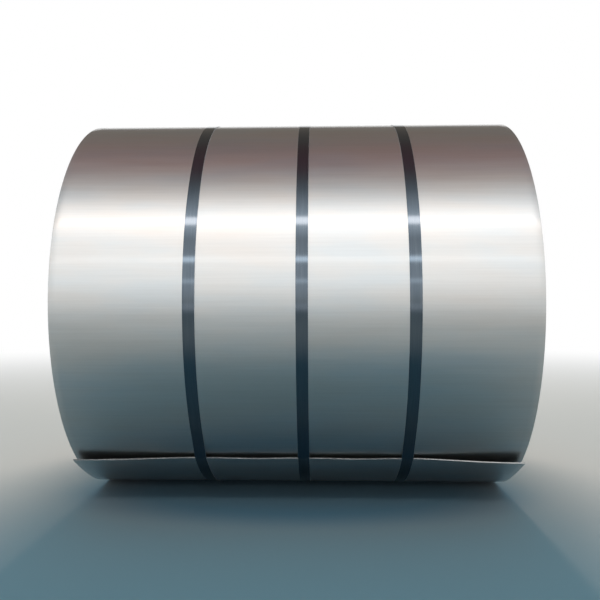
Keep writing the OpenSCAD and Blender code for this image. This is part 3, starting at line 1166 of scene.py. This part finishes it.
def back_lamp(scene, stage):
    """A broad lamp high behind that lights the floor evenly and lays a soft shadow to the front."""
    lamp = bpy.data.objects.new("back_lamp", bpy.data.lights.new("back_lamp", "POINT"))
    lamp.location = stage.lamp
    lamp.data.energy = stage.lamp_power
    lamp.data.color = stage.lamp_tint
    lamp.data.shadow_soft_size = stage.lamp_radius
    lamp.data.use_nodes = True
    glow = lamp.data.node_tree
    even = add(glow, "ShaderNodeLightFalloff", {"Strength": 1.0}).outputs["Constant"]
    glow.links.new(even, glow.nodes["Emission"].inputs["Strength"])
    lamp.visible_glossy = False
    lamp.visible_camera = False
    scene.collection.objects.link(lamp)


def lay_floor(scene, finishes, stage):
    """The floor, as one large square."""
    half = stage.floor_half
    corners = [(-half, -half, 0), (half, -half, 0), (half, half, 0), (-half, half, 0)]
    mesh = make_mesh("floor", corners, [(0, 1, 2, 3)], [floor_finish(finishes, stage)])
    floor = bpy.data.objects.new("floor", mesh)
    scene.collection.objects.link(floor)


def set_camera(scene, stage):
    """The camera, about level with the coil's axis and a little to the right of its middle."""
    camera = bpy.data.objects.new("camera", bpy.data.cameras.new("camera"))
    scene.collection.objects.link(camera)
    camera.location = stage.eye
    camera.rotation_euler = (math.pi / 2 + stage.pitch, stage.roll, stage.yaw)
    camera.data.sensor_width = 36.0
    camera.data.lens = stage.lens
    camera.data.clip_end = 100.0
    scene.camera = camera


# Operators


class STEEL_COIL_OT_strip(bpy.types.Operator):
    """Winds the strip's last turn, tail and bore in place of the coil's solid"""

    bl_idname = "steel_coil.strip"
    bl_label = "Wind the strip"

    def execute(self, context):
        coil = context.scene.steel_coil
        w = windings(coil.strip, coil.strap)
        piece = wound_piece(w, coil.strip, coil.strap, coil.finishes)
        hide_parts("coil")
        return {"FINISHED"}


class STEEL_COIL_OT_turns(bpy.types.Operator):
    """Winds the strip's slit edges as spirals on both ends"""

    bl_idname = "steel_coil.turns"
    bl_label = "Wind the end turns"

    def execute(self, context):
        coil = context.scene.steel_coil
        w = windings(coil.strip, coil.strap)
        tree = turns_tree(slit_edges(coil.finishes, w.axis_z))
        for name, side in (("end_turns_left", -1), ("end_turns_right", 1)):
            end_turns(name, w, coil.strip, tree, side)
        return {"FINISHED"}


class STEEL_COIL_OT_straps(bpy.types.Operator):
    """Lays the straps over the coil and its tail"""

    bl_idname = "steel_coil.straps"
    bl_label = "Lay the straps"

    def execute(self, context):
        coil = context.scene.steel_coil
        colours = coil.finishes
        w = windings(coil.strip, coil.strap)
        middles = [middle_of(node) for node in STRAP_NODES]
        half = coil.strap.width / 2
        material = blued_steel("blued_steel_strapping", colours.blued, colours.bare_edge_highlight, middles, half)
        for node, x in zip(STRAP_NODES, middles):
            piece = strap_piece(node.replace("strap", "strapping"), w, coil.strip, coil.strap, x, material)
            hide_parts(node)
        return {"FINISHED"}


class STEEL_COIL_OT_seals(bpy.types.Operator):
    """Folds and crimps the seals over the straps' lapped ends"""

    bl_idname = "steel_coil.seals"
    bl_label = "Crimp the seals"

    def execute(self, context):
        coil = context.scene.steel_coil
        colours = coil.finishes
        w = windings(coil.strip, coil.strap)
        middles = [middle_of(node) for node in SEAL_NODES]
        # The painted highlight of bare metal would lie past a seal's folds, which keep their blueing.
        past_folds = 2 * MM
        half = coil.strap.width / 2 + past_folds
        material = blued_steel("blued_steel_seal", colours.seal, colours.bare_edge_highlight, middles, half)
        for node, x in zip(SEAL_NODES, middles):
            piece = seal_piece(node.replace("seal", "crimped_seal"), w, coil.strap, x, material)
            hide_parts(node)
        return {"FINISHED"}


class STEEL_COIL_OT_stage(bpy.types.Operator):
    """Sets the floor, the surrounding light and the camera"""

    bl_idname = "steel_coil.stage"
    bl_label = "Set the stage"

    def execute(self, context):
        scene = context.scene
        coil = scene.steel_coil
        lay_floor(scene, coil.finishes, coil.stage)
        light_tent(scene, coil.finishes)
        back_lamp(scene, coil.stage)
        set_camera(scene, coil.stage)
        scene.view_settings.view_transform = "Standard"
        return {"FINISHED"}


OPERATORS = (
    STEEL_COIL_OT_strip,
    STEEL_COIL_OT_turns,
    STEEL_COIL_OT_straps,
    STEEL_COIL_OT_seals,
    STEEL_COIL_OT_stage,
)


class STEEL_COIL_PT_panel(bpy.types.Panel):
    """Lists the coil's pieces and their sizes"""

    bl_idname = "STEEL_COIL_PT_panel"
    bl_label = "Steel coil"
    bl_space_type = "VIEW_3D"
    bl_region_type = "UI"
    bl_category = "Steel coil"

    def draw(self, context):
        coil = context.scene.steel_coil
        for operator in OPERATORS:
            self.layout.operator(operator.bl_idname)
        for group in (coil.strip, coil.strap, coil.finishes, coil.stage):
            box = self.layout.box()
            for key in group.bl_rna.properties.keys():
                if key not in ("rna_type", "name"):
                    box.prop(group, key)


CLASSES = (StripSizes, StrapSizes, Finishes, StageSizes, SteelCoil, *OPERATORS, STEEL_COIL_PT_panel)


def register():
    for cls in CLASSES:
        bpy.utils.register_class(cls)
    bpy.types.Scene.steel_coil = PointerProperty(type=SteelCoil)


def unregister():
    del bpy.types.Scene.steel_coil
    for cls in reversed(CLASSES):
        bpy.utils.unregister_class(cls)


def main():
    """Makes every piece and the stage."""
    register()
    bpy.ops.steel_coil.strip()
    bpy.ops.steel_coil.turns()
    bpy.ops.steel_coil.straps()
    bpy.ops.steel_coil.seals()
    bpy.ops.steel_coil.stage()


if __name__ == "__main__":
    main()
